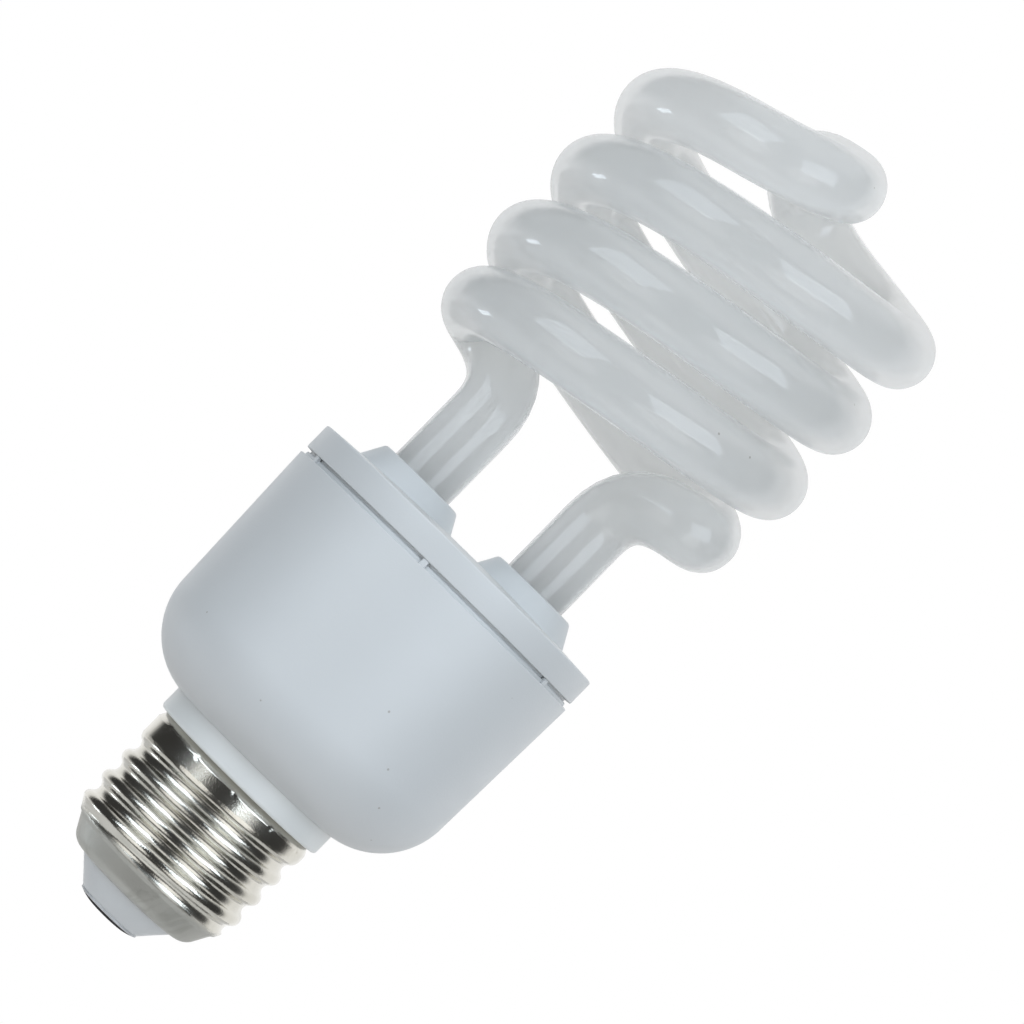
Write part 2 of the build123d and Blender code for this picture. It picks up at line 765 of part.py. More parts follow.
parts = {
    "spiral_tube": spiral_tube(),
    "tube_holder": tube_holder(),
    "ballast_housing": ballast_housing(),
    "screw_shell": screw_shell(),
    "cap_insulator": cap_insulator(),
    "centre_contact": centre_contact(),
    "tube_cement": tube_cement(),
    "circuit_board": circuit_board(),
    "choke_core": choke_core(),
    "choke_bobbin": choke_bobbin(),
    "choke_winding": choke_winding(),
    "choke_pins": choke_pins(),
    "bulk_capacitor": bulk_capacitor(),
    "resonant_capacitor": film_part(film_size, film_place, film_spots),
    "coupling_capacitor": film_part(coupling_size, coupling_place, coupling_spots),
    "power_transistors": power_transistors(),
    "drive_ring": drive_ring(),
    "drive_windings": drive_windings(),
    "rectifier_diodes": standing_row(diode_spots, diode_diameter, diode_length),
    "resistors": standing_row(resistor_spots, resistor_diameter, resistor_length),
    "trigger_diode": standing_part(trigger_spots, trigger_diameter, trigger_length),
    "filter_choke": filter_choke(),
    "fusible_resistor": fusible_resistor(),
    "wire_posts": wire_posts(),
    "tube_leads": tube_leads(),
    "contact_lead": contact_lead(),
    "shell_lead": shell_lead(),
}

os.makedirs("parts", exist_ok=True)
for name, shape in parts.items():
    export_step(shape, f"parts/{name}.step")
    box = shape.bounding_box()
    heights = f"z {box.min.Z:.1f} to {box.max.Z:.1f}"
    print(f"{name}: {len(shape.solids())} solid(s), {shape.volume:.0f} mm3, {heights}")
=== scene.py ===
# %% [markdown]
# # A spiral compact fluorescent lamp
# The lamp has a screw cap at its foot, a plastic case with the ballast in it, and a white glass tube that
# climbs from the case in two strands, winds round the axis and closes in a bridge at the top.
# The measured model comes first. It gives every piece its place, and the pieces that show are then
# modelled again with smooth surfaces. Pieces that stay hidden inside the case keep their measured form.

# %% Load the measured lamp
import json
import math

import bpy
from mathutils import Matrix, Vector


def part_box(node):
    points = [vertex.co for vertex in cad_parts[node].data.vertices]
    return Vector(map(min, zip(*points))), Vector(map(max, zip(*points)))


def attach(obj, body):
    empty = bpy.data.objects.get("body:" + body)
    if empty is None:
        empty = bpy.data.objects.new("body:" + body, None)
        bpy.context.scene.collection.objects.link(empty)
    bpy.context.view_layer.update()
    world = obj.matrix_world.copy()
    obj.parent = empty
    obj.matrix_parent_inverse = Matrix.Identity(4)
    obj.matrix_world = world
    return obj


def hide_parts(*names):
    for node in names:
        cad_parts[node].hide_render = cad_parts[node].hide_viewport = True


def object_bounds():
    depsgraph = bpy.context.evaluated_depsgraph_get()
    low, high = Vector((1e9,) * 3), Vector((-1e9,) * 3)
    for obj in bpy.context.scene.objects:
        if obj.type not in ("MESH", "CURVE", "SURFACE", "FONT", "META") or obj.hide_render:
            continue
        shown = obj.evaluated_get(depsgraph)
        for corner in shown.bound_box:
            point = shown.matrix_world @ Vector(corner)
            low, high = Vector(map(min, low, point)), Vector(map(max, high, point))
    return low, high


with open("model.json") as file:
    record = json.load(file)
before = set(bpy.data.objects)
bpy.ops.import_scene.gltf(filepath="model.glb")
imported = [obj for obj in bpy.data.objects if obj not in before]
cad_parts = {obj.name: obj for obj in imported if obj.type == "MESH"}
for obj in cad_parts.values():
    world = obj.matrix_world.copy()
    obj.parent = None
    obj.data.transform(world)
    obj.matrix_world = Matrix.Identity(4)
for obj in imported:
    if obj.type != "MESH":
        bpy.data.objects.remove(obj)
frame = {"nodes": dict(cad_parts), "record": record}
measured_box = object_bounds()
MM = 0.001
lowest, highest = measured_box
print("measured lamp, mm:", [round(size / MM, 2) for size in highest - lowest])

# %% Read the heights that the pieces share


def heights(node):
    """Lowest and highest point of a measured piece, in millimetres."""
    return [corner.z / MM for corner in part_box(node)]


tube_foot, tube_top = heights("spiral_tube")
shell_foot, shell_rim = heights("screw_shell")
insulator_foot, insulator_top = heights("cap_insulator")
neck_foot, cover_foot = heights("ballast_housing")
skirt_foot, socket_top = heights("tube_holder")
print("cap rim:", round(shell_rim, 2), "seam:", round(cover_foot, 2), "top:", round(tube_top, 2))

# %% [markdown]
# # The camera
# The lamp was photographed level, from about 70 cm, with a long lens. The picture is rolled, so that the
# lamp leans to the right by a little under 45 degrees. A camera's own axes are its right, its up and its
# back, so a matrix with those three columns turns it, which is easier to check than three angles.

# %% Place the camera
camera_place = Vector((0, -690, shell_rim + 28.1)) * MM
camera_target = Vector((1.04, 0, shell_rim + 49.37)) * MM
camera_roll = math.radians(44.47)
camera_lens = 188.0

bpy.ops.object.select_all(action="DESELECT")
bpy.ops.object.camera_add()
camera = bpy.context.object
camera.name = "photo_camera"
camera.data.lens = camera_lens
camera_back = (camera_place - camera_target).normalized()
leaning_up = Vector((-math.sin(camera_roll), 0, math.cos(camera_roll)))
camera_right = leaning_up.cross(camera_back).normalized()
camera_up = camera_back.cross(camera_right)
turned_axes = Matrix((camera_right, camera_up, camera_back)).transposed().to_4x4()
camera.matrix_world = Matrix.Translation(camera_place) @ turned_axes
bpy.context.scene.camera = camera
print("camera distance, mm:", round((camera_place - camera_target).length / MM))

# %% [markdown]
# # The studio
# The lamp hangs in front of a bright white backdrop in a dim room. A pale ceiling and floor give soft light
# from above and below, and two soft boxes stand left and right of the photographer. A small lamp low on the
# left sets a glint on the end of each turn. Bright metal and glass show all of this, so the sky has the same
# parts: patches behind, above and below, two low ones that fill the shadows left and right, and a dim rest.
# The camera itself sees plain white.

# %% Shape the room
scene = bpy.context.scene
scene.view_settings.view_transform = "Standard"
room = bpy.data.worlds.new("white_backdrop_room")
scene.world = room
room.use_nodes = True
room_nodes, room_links = room.node_tree.nodes, room.node_tree.links
room_nodes.clear()


def map_range(nodes, low, high, to_low=0.0, to_high=1.0):
    """A smooth Map Range node that goes from one value at low to another at high."""
    node = nodes.new("ShaderNodeMapRange")
    node.interpolation_type = "SMOOTHSTEP"
    for socket, value in (("From Min", low), ("From Max", high), ("To Min", to_low), ("To Max", to_high)):
        node.inputs[socket].default_value = value
    return node


def math_node(nodes, operation, value=None):
    """A Math node, with its second value if it has one."""
    node = nodes.new("ShaderNodeMath")
    node.operation = operation
    if value is not None:
        node.inputs[1].default_value = value
    return node


def toward(azimuth, elevation):
    """Direction from the lamp, by angles in degrees that start at the camera's side."""
    turn, lift = math.radians(azimuth), math.radians(elevation)
    return Vector((math.sin(turn) * math.cos(lift), -math.cos(turn) * math.cos(lift), math.sin(lift)))


room_dim = 0.05
# A patch has a name, a direction, the closeness to it where it starts and where it is full, and a brightness.
room_patches = [
    ("backdrop", (0.2, 1, 0), 0.45, 0.66, 1.1),
    ("ceiling", (0, 0, 1), 0.55, 0.85, 1.1),
    ("ground", (0, 0.6, -1), 0.40, 0.90, 1.2),
    ("left fill", toward(-36, -22), 0.90, 0.98, 1.4),
    ("right fill", toward(36, -22), 0.90, 0.98, 1.55),
]
direction = room_nodes.new("ShaderNodeTexCoord")
brightest = None
for name, middle, edge, full, level in room_patches:
    closeness = room_nodes.new("ShaderNodeVectorMath")
    closeness.operation = "DOT_PRODUCT"
    closeness.inputs[1].default_value = middle
    patch = map_range(room_nodes, edge, full, room_dim, level)
    patch.label = name
    room_links.new(direction.outputs["Generated"], closeness.inputs[0])
    room_links.new(closeness.outputs["Value"], patch.inputs["Value"])
    if brightest is None:
        brightest = patch.outputs["Result"]
        continue
    brighter = math_node(room_nodes, "MAXIMUM")
    room_links.new(brightest, brighter.inputs[0])
    room_links.new(patch.outputs["Result"], brighter.inputs[1])
    brightest = brighter.outputs[0]

rays = room_nodes.new("ShaderNodeLightPath")
seen = room_nodes.new("ShaderNodeMix")
seen.inputs["B"].default_value = 1.0
sky = room_nodes.new("ShaderNodeBackground")
sky.inputs["Color"].default_value = (1, 1, 1, 1)
output = room_nodes.new("ShaderNodeOutputWorld")
room_links.new(rays.outputs["Is Camera Ray"], seen.inputs["Factor"])
room_links.new(brightest, seen.inputs["A"])
room_links.new(seen.outputs["Result"], sky.inputs["Strength"])
room_links.new(sky.outputs["Background"], output.inputs["Surface"])
print("room nodes:", len(room_nodes))

# %% Hang the soft boxes
soft_box_aim = Vector((0, 0, tube_top - 34)) * MM
soft_box_distance = 0.6
soft_box_tint = (0.90, 1.0, 1.10)


def soft_box(name, azimuth, elevation, roll, width, height, radiance):
    """A rectangular light that faces the turns. Angles are seen from there, from the camera's side."""
    away = toward(azimuth, elevation)
    bpy.ops.object.select_all(action="DESELECT")
    bpy.ops.object.light_add(type="AREA", location=soft_box_aim + away * soft_box_distance)
    light = bpy.context.object
    light.name = name
    facing = away.to_track_quat("Z", "Y").to_matrix() @ Matrix.Rotation(math.radians(roll), 3, "Z")
    light.rotation_euler = facing.to_euler()
    light.data.shape = "RECTANGLE"
    light.data.size = width
    light.data.size_y = height
    light.data.color = soft_box_tint
    light.data.energy = radiance * math.pi * width * height
    light.visible_camera = False


soft_box("left_soft_box", azimuth=-46, elevation=15.5, roll=-7, width=0.46, height=0.45, radiance=2.6)
soft_box("right_soft_box", azimuth=38.5, elevation=14, roll=20, width=0.52, height=0.41, radiance=2.85)
soft_box("glint_lamp", azimuth=-115, elevation=-36, roll=0, width=0.12, height=0.06, radiance=5.0)
print("soft boxes at", soft_box_distance, "m")

# %% Lay the floor
floor_drop = -0.45
floor_width = 1.6
floor_back = 0.7
floor_glow = 0.65
floor_colour = (0.9, 0.9, 0.9, 1)
floor_roughness = 0.9
bpy.ops.object.select_all(action="DESELECT")
bpy.ops.mesh.primitive_plane_add(size=floor_width, location=(0, floor_back, floor_drop))
floor = bpy.context.object
floor.name = "pale_floor"
pale = bpy.data.materials.new("pale_floor_paint")
pale.use_nodes = True
pale_nodes, pale_links = pale.node_tree.nodes, pale.node_tree.links
paint = pale_nodes["Principled BSDF"]
paint.inputs["Base Color"].default_value = floor_colour
paint.inputs["Roughness"].default_value = floor_roughness
glow = pale_nodes.new("ShaderNodeEmission")
floor_rays = pale_nodes.new("ShaderNodeLightPath")
glow_share = math_node(pale_nodes, "MULTIPLY", floor_glow)
lit_floor = pale_nodes.new("ShaderNodeMixShader")
pale_links.new(floor_rays.outputs["Is Camera Ray"], glow_share.inputs[0])
pale_links.new(glow_share.outputs[0], lit_floor.inputs["Fac"])
pale_links.new(paint.outputs["BSDF"], lit_floor.inputs[1])
pale_links.new(glow.outputs["Emission"], lit_floor.inputs[2])
pale_links.new(lit_floor.outputs["Shader"], pale_nodes["Material Output"].inputs["Surface"])
floor.data.materials.append(pale)
print("floor at", floor_drop, "m")

# %% [markdown]
# # Shared effects
# Three effects return on several finishes, so each is a node group with its own inputs. Soft mottle mixes
# two near colours in slow clouds, as on moulded plastic and coated glass. Fine grain gives a height for a
# bump and a mask for roughness, as on a satin mould or rolled sheet. Dust specks gives a mask of a few tiny
# spots: it takes the cells of a Voronoi texture, keeps one in so many, and marks only their middles.

# %% Build the effect groups


def new_group(name, inputs, outputs):
    """An empty shader group with its sockets, as (group, input node, output node)."""
    group = bpy.data.node_groups.new(name, "ShaderNodeTree")
    for label, kind, value in inputs:
        socket = group.interface.new_socket(label, in_out="INPUT", socket_type=kind)
        socket.default_value = value
    for label, kind in outputs:
        group.interface.new_socket(label, in_out="OUTPUT", socket_type=kind)
    return group, group.nodes.new("NodeGroupInput"), group.nodes.new("NodeGroupOutput")


def noise_texture(nodes, scale, detail, roughness=0.5):
    """A Noise Texture node."""
    node = nodes.new("ShaderNodeTexNoise")
    node.inputs["Scale"].default_value = scale
    node.inputs["Detail"].default_value = detail
    node.inputs["Roughness"].default_value = roughness
    return node


WHITE = (1, 1, 1, 1)
mottle, mottle_in, mottle_out = new_group(
    "soft_mottle",
    [
        ("Colour", "NodeSocketColor", WHITE),
        ("Cloud", "NodeSocketColor", WHITE),
        ("Scale", "NodeSocketFloat", 60),
    ],
    [("Colour", "NodeSocketColor"), ("Mask", "NodeSocketFloat")],
)
mottle_place = mottle.nodes.new("ShaderNodeTexCoord")
mottle_noise = noise_texture(mottle.nodes, 60, 3)
mottle_range = map_range(mottle.nodes, 0.35, 0.65)
mottle_mix = mottle.nodes.new("ShaderNodeMix")
mottle_mix.data_type = "RGBA"
mottle.links.new(mottle_place.outputs["Object"], mottle_noise.inputs["Vector"])
mottle.links.new(mottle_in.outputs["Scale"], mottle_noise.inputs["Scale"])
mottle.links.new(mottle_noise.outputs["Fac"], mottle_range.inputs["Value"])
mottle.links.new(mottle_range.outputs["Result"], mottle_mix.inputs["Factor"])
mottle.links.new(mottle_in.outputs["Colour"], mottle_mix.inputs[6])
mottle.links.new(mottle_in.outputs["Cloud"], mottle_mix.inputs[7])
mottle.links.new(mottle_mix.outputs[2], mottle_out.inputs["Colour"])
mottle.links.new(mottle_range.outputs["Result"], mottle_out.inputs["Mask"])

grain, grain_in, grain_out = new_group(
    "fine_grain",
    [("Scale", "NodeSocketFloat", 4000), ("Low", "NodeSocketFloat", 0.3), ("High", "NodeSocketFloat", 0.4)],
    [("Height", "NodeSocketFloat"), ("Roughness", "NodeSocketFloat")],
)
grain_place = grain.nodes.new("ShaderNodeTexCoord")
grain_noise = noise_texture(grain.nodes, 4000, 2)
wide_noise = noise_texture(grain.nodes, 220, 4)
wide_range = map_range(grain.nodes, 0.3, 0.7)
grain.links.new(grain_place.outputs["Object"], grain_noise.inputs["Vector"])
grain.links.new(grain_in.outputs["Scale"], grain_noise.inputs["Scale"])
grain.links.new(grain_place.outputs["Object"], wide_noise.inputs["Vector"])
grain.links.new(wide_noise.outputs["Fac"], wide_range.inputs["Value"])
grain.links.new(grain_in.outputs["Low"], wide_range.inputs["To Min"])
grain.links.new(grain_in.outputs["High"], wide_range.inputs["To Max"])
grain.links.new(grain_noise.outputs["Fac"], grain_out.inputs["Height"])
grain.links.new(wide_range.outputs["Result"], grain_out.inputs["Roughness"])

specks, specks_in, specks_out = new_group(
    "dust_specks",
    [("Scale", "NodeSocketFloat", 400), ("Size", "NodeSocketFloat", 0.07), ("Share", "NodeSocketFloat", 0.2)],
    [("Mask", "NodeSocketFloat")],
)
specks_place = specks.nodes.new("ShaderNodeTexCoord")
specks_cells = specks.nodes.new("ShaderNodeTexVoronoi")
specks_chance = specks.nodes.new("ShaderNodeSeparateColor")
specks_kept = math_node(specks.nodes, "LESS_THAN")
specks_middle = math_node(specks.nodes, "LESS_THAN")
specks_mask = math_node(specks.nodes, "MULTIPLY")
specks.links.new(specks_place.outputs["Object"], specks_cells.inputs["Vector"])
specks.links.new(specks_in.outputs["Scale"], specks_cells.inputs["Scale"])
specks.links.new(specks_cells.outputs["Color"], specks_chance.inputs["Color"])
specks.links.new(specks_chance.outputs["Red"], specks_kept.inputs[0])
specks.links.new(specks_in.outputs["Share"], specks_kept.inputs[1])
specks.links.new(specks_cells.outputs["Distance"], specks_middle.inputs[0])
specks.links.new(specks_in.outputs["Size"], specks_middle.inputs[1])
specks.links.new(specks_kept.outputs[0], specks_mask.inputs[0])
specks.links.new(specks_middle.outputs[0], specks_mask.inputs[1])
specks.links.new(specks_mask.outputs[0], specks_out.inputs["Mask"])
print("groups:", mottle.name, grain.name, specks.name)

# %% [markdown]
# # One recipe for all finishes
# Each finish has two near colours, a grain, a range of roughness and a little relief, so one function mixes
# them all. A second one strews dust over a finish.

# %% Write the recipe
relief_depth = 0.05 * MM
dust_colour = (0.22, 0.19, 0.15, 1)


def finish(name, colour, cloud, cloud_scale, grain_scale, roughness, bump, metallic=0.0, ior=1.5):
    """A finish with clouded colour and fine grain."""
    material = bpy.data.materials.new(name + "_finish")
    material.use_nodes = True
    nodes, links = material.node_tree.nodes, material.node_tree.links
    shader = nodes["Principled BSDF"]
    shader.inputs["Metallic"].default_value = metallic
    shader.inputs["IOR"].default_value = ior
    clouds = nodes.new("ShaderNodeGroup")
    clouds.name = "clouds"
    clouds.node_tree = mottle
    clouds.inputs["Colour"].default_value = (*colour, 1)
    clouds.inputs["Cloud"].default_value = (*cloud, 1)
    clouds.inputs["Scale"].default_value = cloud_scale
    texture = nodes.new("ShaderNodeGroup")
    texture.name = "texture"
    texture.node_tree = grain
    texture.inputs["Scale"].default_value = grain_scale
    texture.inputs["Low"].default_value = roughness[0]
    texture.inputs["High"].default_value = roughness[1]
    relief = nodes.new("ShaderNodeBump")
    relief.name = "relief"
    relief.inputs["Strength"].default_value = bump
    relief.inputs["Distance"].default_value = relief_depth
    links.new(clouds.outputs["Colour"], shader.inputs["Base Color"])
    links.new(texture.outputs["Roughness"], shader.inputs["Roughness"])
    links.new(texture.outputs["Height"], relief.inputs["Height"])
    links.new(relief.outputs["Normal"], shader.inputs["Normal"])
    return material


def add_specks(material, share, strength):
    """Puts dust specks over a finish's clouds. Returns the socket of the speckled colour."""
    nodes, links = material.node_tree.nodes, material.node_tree.links
    dust = nodes.new("ShaderNodeGroup")
    dust.node_tree = specks
    dust.inputs["Share"].default_value = share
    weight = math_node(nodes, "MULTIPLY", strength)
    speckled = nodes.new("ShaderNodeMix")
    speckled.data_type = "RGBA"
    speckled.inputs[7].default_value = dust_colour
    links.new(dust.outputs["Mask"], weight.inputs[0])
    links.new(weight.outputs[0], speckled.inputs["Factor"])
    links.new(nodes["clouds"].outputs["Colour"], speckled.inputs[6])
    return speckled.outputs[2]


# %% [markdown]
# # Finishes that show
# The glass is clear, with a white coat inside: milky where one looks through it, clearer along its edges and
# glossy outside. The gloss grows towards the edges and stops at a limit, which keeps the outlines soft. The
# case is a pale blue-grey plastic with a satin mould finish. Its collar is paler, partly its own tone and
# partly painted light that lifts the shade under the case's round. The cap is nickel-plated sheet: bright
# where the rollers pressed it and dull and stained round its foot. The insulator is a smooth pale plastic,
# and the contact on it is dull metal, with its lower rounding painted near black as painted shade for the
# dark line along its rim.

# %% Mix the glass
glass_ior = 1.5
glow_through_share = 0.88
skin_limit = 0.3
rim_start, rim_end = 0.46, 0.76
rim_clearness = 0.4
opal_glass = finish(
    "opal_glass", (0.878, 0.883, 0.878), (0.863, 0.87, 0.868), 45, 500, (0.03, 0.05), 0.02
)
glass_nodes, glass_links = opal_glass.node_tree.nodes, opal_glass.node_tree.links
glass_nodes.remove(glass_nodes["Principled BSDF"])
milk_colour = add_specks(opal_glass, 0.08, 0.45)
skin_normal = glass_nodes["relief"].outputs["Normal"]
milk = glass_nodes.new("ShaderNodeBsdfDiffuse")
glow_through = glass_nodes.new("ShaderNodeBsdfTranslucent")
milk_body = glass_nodes.new("ShaderNodeMixShader")
milk_body.inputs["Fac"].default_value = glow_through_share
skin = glass_nodes.new("ShaderNodeBsdfGlossy")
skin_share = glass_nodes.new("ShaderNodeFresnel")
skin_share.inputs["IOR"].default_value = glass_ior
side = glass_nodes.new("ShaderNodeNewGeometry")
outside = math_node(glass_nodes, "SUBTRACT")
outside.inputs[0].default_value = 1.0
outer_share = math_node(glass_nodes, "MULTIPLY")
capped_share = math_node(glass_nodes, "MINIMUM", skin_limit)
clear =glass_nodes.new("ShaderNodeBsdfTransparent")
edge_on = glass_nodes.new("ShaderNodeLayerWeight")
rim_share = map_range(glass_nodes, rim_start, rim_end, 0.0, rim_clearness)
rimmed_body = glass_nodes.new("ShaderNodeMixShader")
glass = glass_nodes.new("ShaderNodeMixShader")
glass_links.new(milk_colour, milk.inputs["Color"])
glass_links.new(milk_colour, glow_through.inputs["Color"])
glass_links.new(milk.outputs["BSDF"], milk_body.inputs[1])
glass_links.new(glow_through.outputs["BSDF"], milk_body.inputs[2])
glass_links.new(glass_nodes["texture"].outputs["Roughness"], skin.inputs["Roughness"])
glass_links.new(skin_normal, skin.inputs["Normal"])
glass_links.new(side.outputs["Backfacing"], outside.inputs[1])
glass_links.new(skin_share.outputs["Fac"], outer_share.inputs[0])
glass_links.new(outside.outputs[0], outer_share.inputs[1])
glass_links.new(outer_share.outputs[0], capped_share.inputs[0])
glass_links.new(capped_share.outputs[0], glass.inputs["Fac"])
glass_links.new(edge_on.outputs["Facing"], rim_share.inputs["Value"])
glass_links.new(rim_share.outputs["Result"], rimmed_body.inputs["Fac"])
glass_links.new(milk_body.outputs["Shader"], rimmed_body.inputs[1])
glass_links.new(clear.outputs["BSDF"], rimmed_body.inputs[2])
glass_links.new(rimmed_body.outputs["Shader"], glass.inputs[1])
glass_links.new(skin.outputs["BSDF"], glass.inputs[2])
glass_links.new(glass.outputs["Shader"], glass_nodes["Material Output"].inputs["Surface"])
print("made:", opal_glass.name)

# %% Mix the plastics and the contact's metal
case_plastic = finish(
    "case_plastic", (0.605, 0.625, 0.635), (0.595, 0.613, 0.62), 35, 3500, (0.42, 0.50), 0.25
)
case_speckled = add_specks(case_plastic, 0.12, 0.5)
case_shader = case_plastic.node_tree.nodes["Principled BSDF"]
case_plastic.node_tree.links.new(case_speckled, case_shader.inputs["Base Color"])
# The collar's paler colour is partly its own tone and partly painted light, which lifts the shade cast by the
# case's round.
painted_light_collar = finish(
    "painted_light_collar", (0.745, 0.76, 0.75), (0.725, 0.74, 0.73), 35, 3500, (0.38, 0.46), 0.25
)
insulator_plastic = finish(
    "insulator_plastic", (0.62, 0.64, 0.65), (0.60, 0.62, 0.63), 160, 2500, (0.30, 0.38), 0.1
)
contact_nickel = finish(
    "contact_nickel", (0.56, 0.57, 0.58), (0.52, 0.53, 0.54), 600, 2500, (0.45, 0.55), 0.2, metallic=0.3
)
# Painted shade: the contact's lower rounding gets a near-black finish that reflects little, for the dark line
# along its rim.
contact_painted_shade = finish(
    "contact_painted_shade", (0.03, 0.03, 0.035), (0.02, 0.02, 0.02), 900, 2500, (0.7, 0.85), 0.3, ior=1.15
)
print("made:", case_plastic.name, painted_light_collar.name, insulator_plastic.name)
print("made:", contact_nickel.name, contact_painted_shade.name)

# %% Mix the nickel of the shell
dull_roughness = 0.45
dull_colour = (0.45, 0.45, 0.42, 1)
stain_colour = (0.38, 0.38, 0.35, 1)
stain_scale, stain_detail, stain_roughness, stain_twist = 160, 5, 0.62, 1.4
stain_start, stain_full = 0.47, 0.66
dull_top = (shell_foot + 3.95) * MM
dull_fade = 1.2 * MM
band_roughness = 0.17
band_foot = (shell_rim - 3.5) * MM
band_fade = 0.2 * MM
cap_nickel = finish(
    "cap_nickel", (0.62, 0.605, 0.55), (0.56, 0.545, 0.49), 240, 4500, (0.13, 0.22), 0.3, metallic=1.0
)
nickel_nodes, nickel_links = cap_nickel.node_tree.nodes, cap_nickel.node_tree.links
nickel_shader = nickel_nodes["Principled BSDF"]
nickel_place = nickel_nodes.new("ShaderNodeTexCoord")
nickel_axes = nickel_nodes.new("ShaderNodeSeparateXYZ")
dull_mask = map_range(nickel_nodes, dull_top + dull_fade / 2, dull_top - dull_fade / 2)
band_mask = map_range(nickel_nodes, band_foot - band_fade / 2, band_foot + band_fade / 2)
band_mix = nickel_nodes.new("ShaderNodeMix")
band_mix.inputs["B"].default_value = band_roughness
dull_mix = nickel_nodes.new("ShaderNodeMix")
dull_mix.inputs["B"].default_value = dull_roughness
stains = noise_texture(nickel_nodes, stain_scale, stain_detail, stain_roughness)
stains.inputs["Distortion"].default_value = stain_twist
stain_mask = map_range(nickel_nodes, stain_start, stain_full)
stain_tint = nickel_nodes.new("ShaderNodeMix")
stain_tint.data_type = "RGBA"
stain_tint.inputs[6].default_value = dull_colour
stain_tint.inputs[7].default_value = stain_colour
dull_tint = nickel_nodes.new("ShaderNodeMix")
dull_tint.data_type = "RGBA"
nickel_links.new(nickel_place.outputs["Object"], nickel_axes.inputs["Vector"])
nickel_links.new(nickel_axes.outputs["Z"], dull_mask.inputs["Value"])
nickel_links.new(dull_mask.outputs["Result"], dull_mix.inputs["Factor"])
nickel_links.new(nickel_axes.outputs["Z"], band_mask.inputs["Value"])
nickel_links.new(band_mask.outputs["Result"], band_mix.inputs["Factor"])
nickel_links.new(nickel_nodes["texture"].outputs["Roughness"], band_mix.inputs["A"])
nickel_links.new(band_mix.outputs["Result"], dull_mix.inputs["A"])
nickel_links.new(dull_mix.outputs["Result"], nickel_shader.inputs["Roughness"])
nickel_links.new(nickel_place.outputs["Object"], stains.inputs["Vector"])
nickel_links.new(stains.outputs["Fac"], stain_mask.inputs["Value"])
nickel_links.new(stain_mask.outputs["Result"], stain_tint.inputs["Factor"])
nickel_links.new(stain_tint.outputs[2], dull_tint.inputs[7])
nickel_links.new(dull_mask.outputs["Result"], dull_tint.inputs["Factor"])
nickel_links.new(nickel_nodes["clouds"].outputs["Colour"], dull_tint.inputs[6])
nickel_links.new(dull_tint.outputs[2], nickel_shader.inputs["Base Color"])
print("made:", cap_nickel.name)

# %% [markdown]
# # Turned pieces
# Most of the lamp is turned about its axis. Such a piece is drawn as half an outline, from the same radii
# and heights as the measured one, and spun round. Round stretches of an outline come from a small arc
# helper, so the outline itself stays short.

# %% Helpers for turned pieces
merge_distance = 0.0005 * MM


def arc(centre, radius, start, end, steps=8):
    """Points of an arc about (radius, height), between two angles in degrees."""
    angles = [math.radians(start + (end - start) * step / steps) for step in range(steps + 1)]
    return [(centre[0] + radius * math.cos(a), centre[1] + radius * math.sin(a)) for a in angles]


def spin_outline(name, outline, steps, closed=True):
    """Draws an outline of (radius, height) in millimetres and spins it about the lamp's axis."""
    bpy.ops.object.select_all(action="DESELECT")
    bpy.ops.curve.primitive_bezier_curve_add()
    drawn = bpy.context.object
    drawn.data.splines.clear()
    spline = drawn.data.splines.new("POLY")
    spline.points.add(len(outline) - 1)
    for point, (radius, height) in zip(spline.points, outline):
        point.co = (radius * MM, 0, height * MM, 1)
    spline.use_cyclic_u = closed
    bpy.ops.object.convert(target="MESH")
    piece = bpy.context.object
    piece.name = name
    bpy.ops.object.mode_set(mode="EDIT")
    bpy.ops.mesh.select_all(action="SELECT")
    bpy.ops.mesh.spin(steps=steps, angle=2 * math.pi, center=(0, 0, 0), axis=(0, 0, 1))
    bpy.ops.mesh.select_all(action="SELECT")
    bpy.ops.mesh.remove_doubles(threshold=merge_distance)
    bpy.ops.mesh.normals_make_consistent(inside=False)
    bpy.ops.object.mode_set(mode="OBJECT")
    return piece


def dress(piece, node, material, smooth_angle=32):
    """Gives a finished piece its finish, its smooth shading and its place in the lamp."""
    bpy.ops.object.select_all(action="DESELECT")
    piece.select_set(True)
    bpy.context.view_layer.objects.active = piece
    bpy.ops.object.shade_smooth_by_angle(angle=math.radians(smooth_angle))
    piece.data.materials.clear()
    piece.data.materials.append(material)
    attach(piece, "root")
    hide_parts(node)
    low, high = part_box(node)
    points = [vertex.co for vertex in piece.data.vertices]
    reach = [max(p[axis] for p in points) - min(p[axis] for p in points) for axis in range(3)]
    size = [round(value / MM, 2) for value in reach]
    print(piece.name, "mm:", size, "measured:", [round(value / MM, 2) for value in high - low])


def apply_modifier(piece, kind, **settings):
    """Adds a modifier, sets it and applies it."""
    bpy.ops.object.select_all(action="DESELECT")
    piece.select_set(True)
    bpy.context.view_layer.objects.active = piece
    modifier = piece.modifiers.new(kind.lower(), kind)
    for setting, value in settings.items():
        setattr(modifier, setting, value)
    bpy.ops.object.modifier_apply(modifier=modifier.name)


# %% [markdown]
# # The glass tube
# The real tube is drawn hot round a mandrel: two straight legs, a hook out of each leg, the turns, and a
# bridge that joins both strands at the top. A curve with a round bevel is the same idea. One curve runs
# from one leg over the bridge to the other, so the glass has no seam. Each twelfth of a turn is one curve
# segment whose handles follow the helix. The two hooks differ a little, as hand-bent ones do.

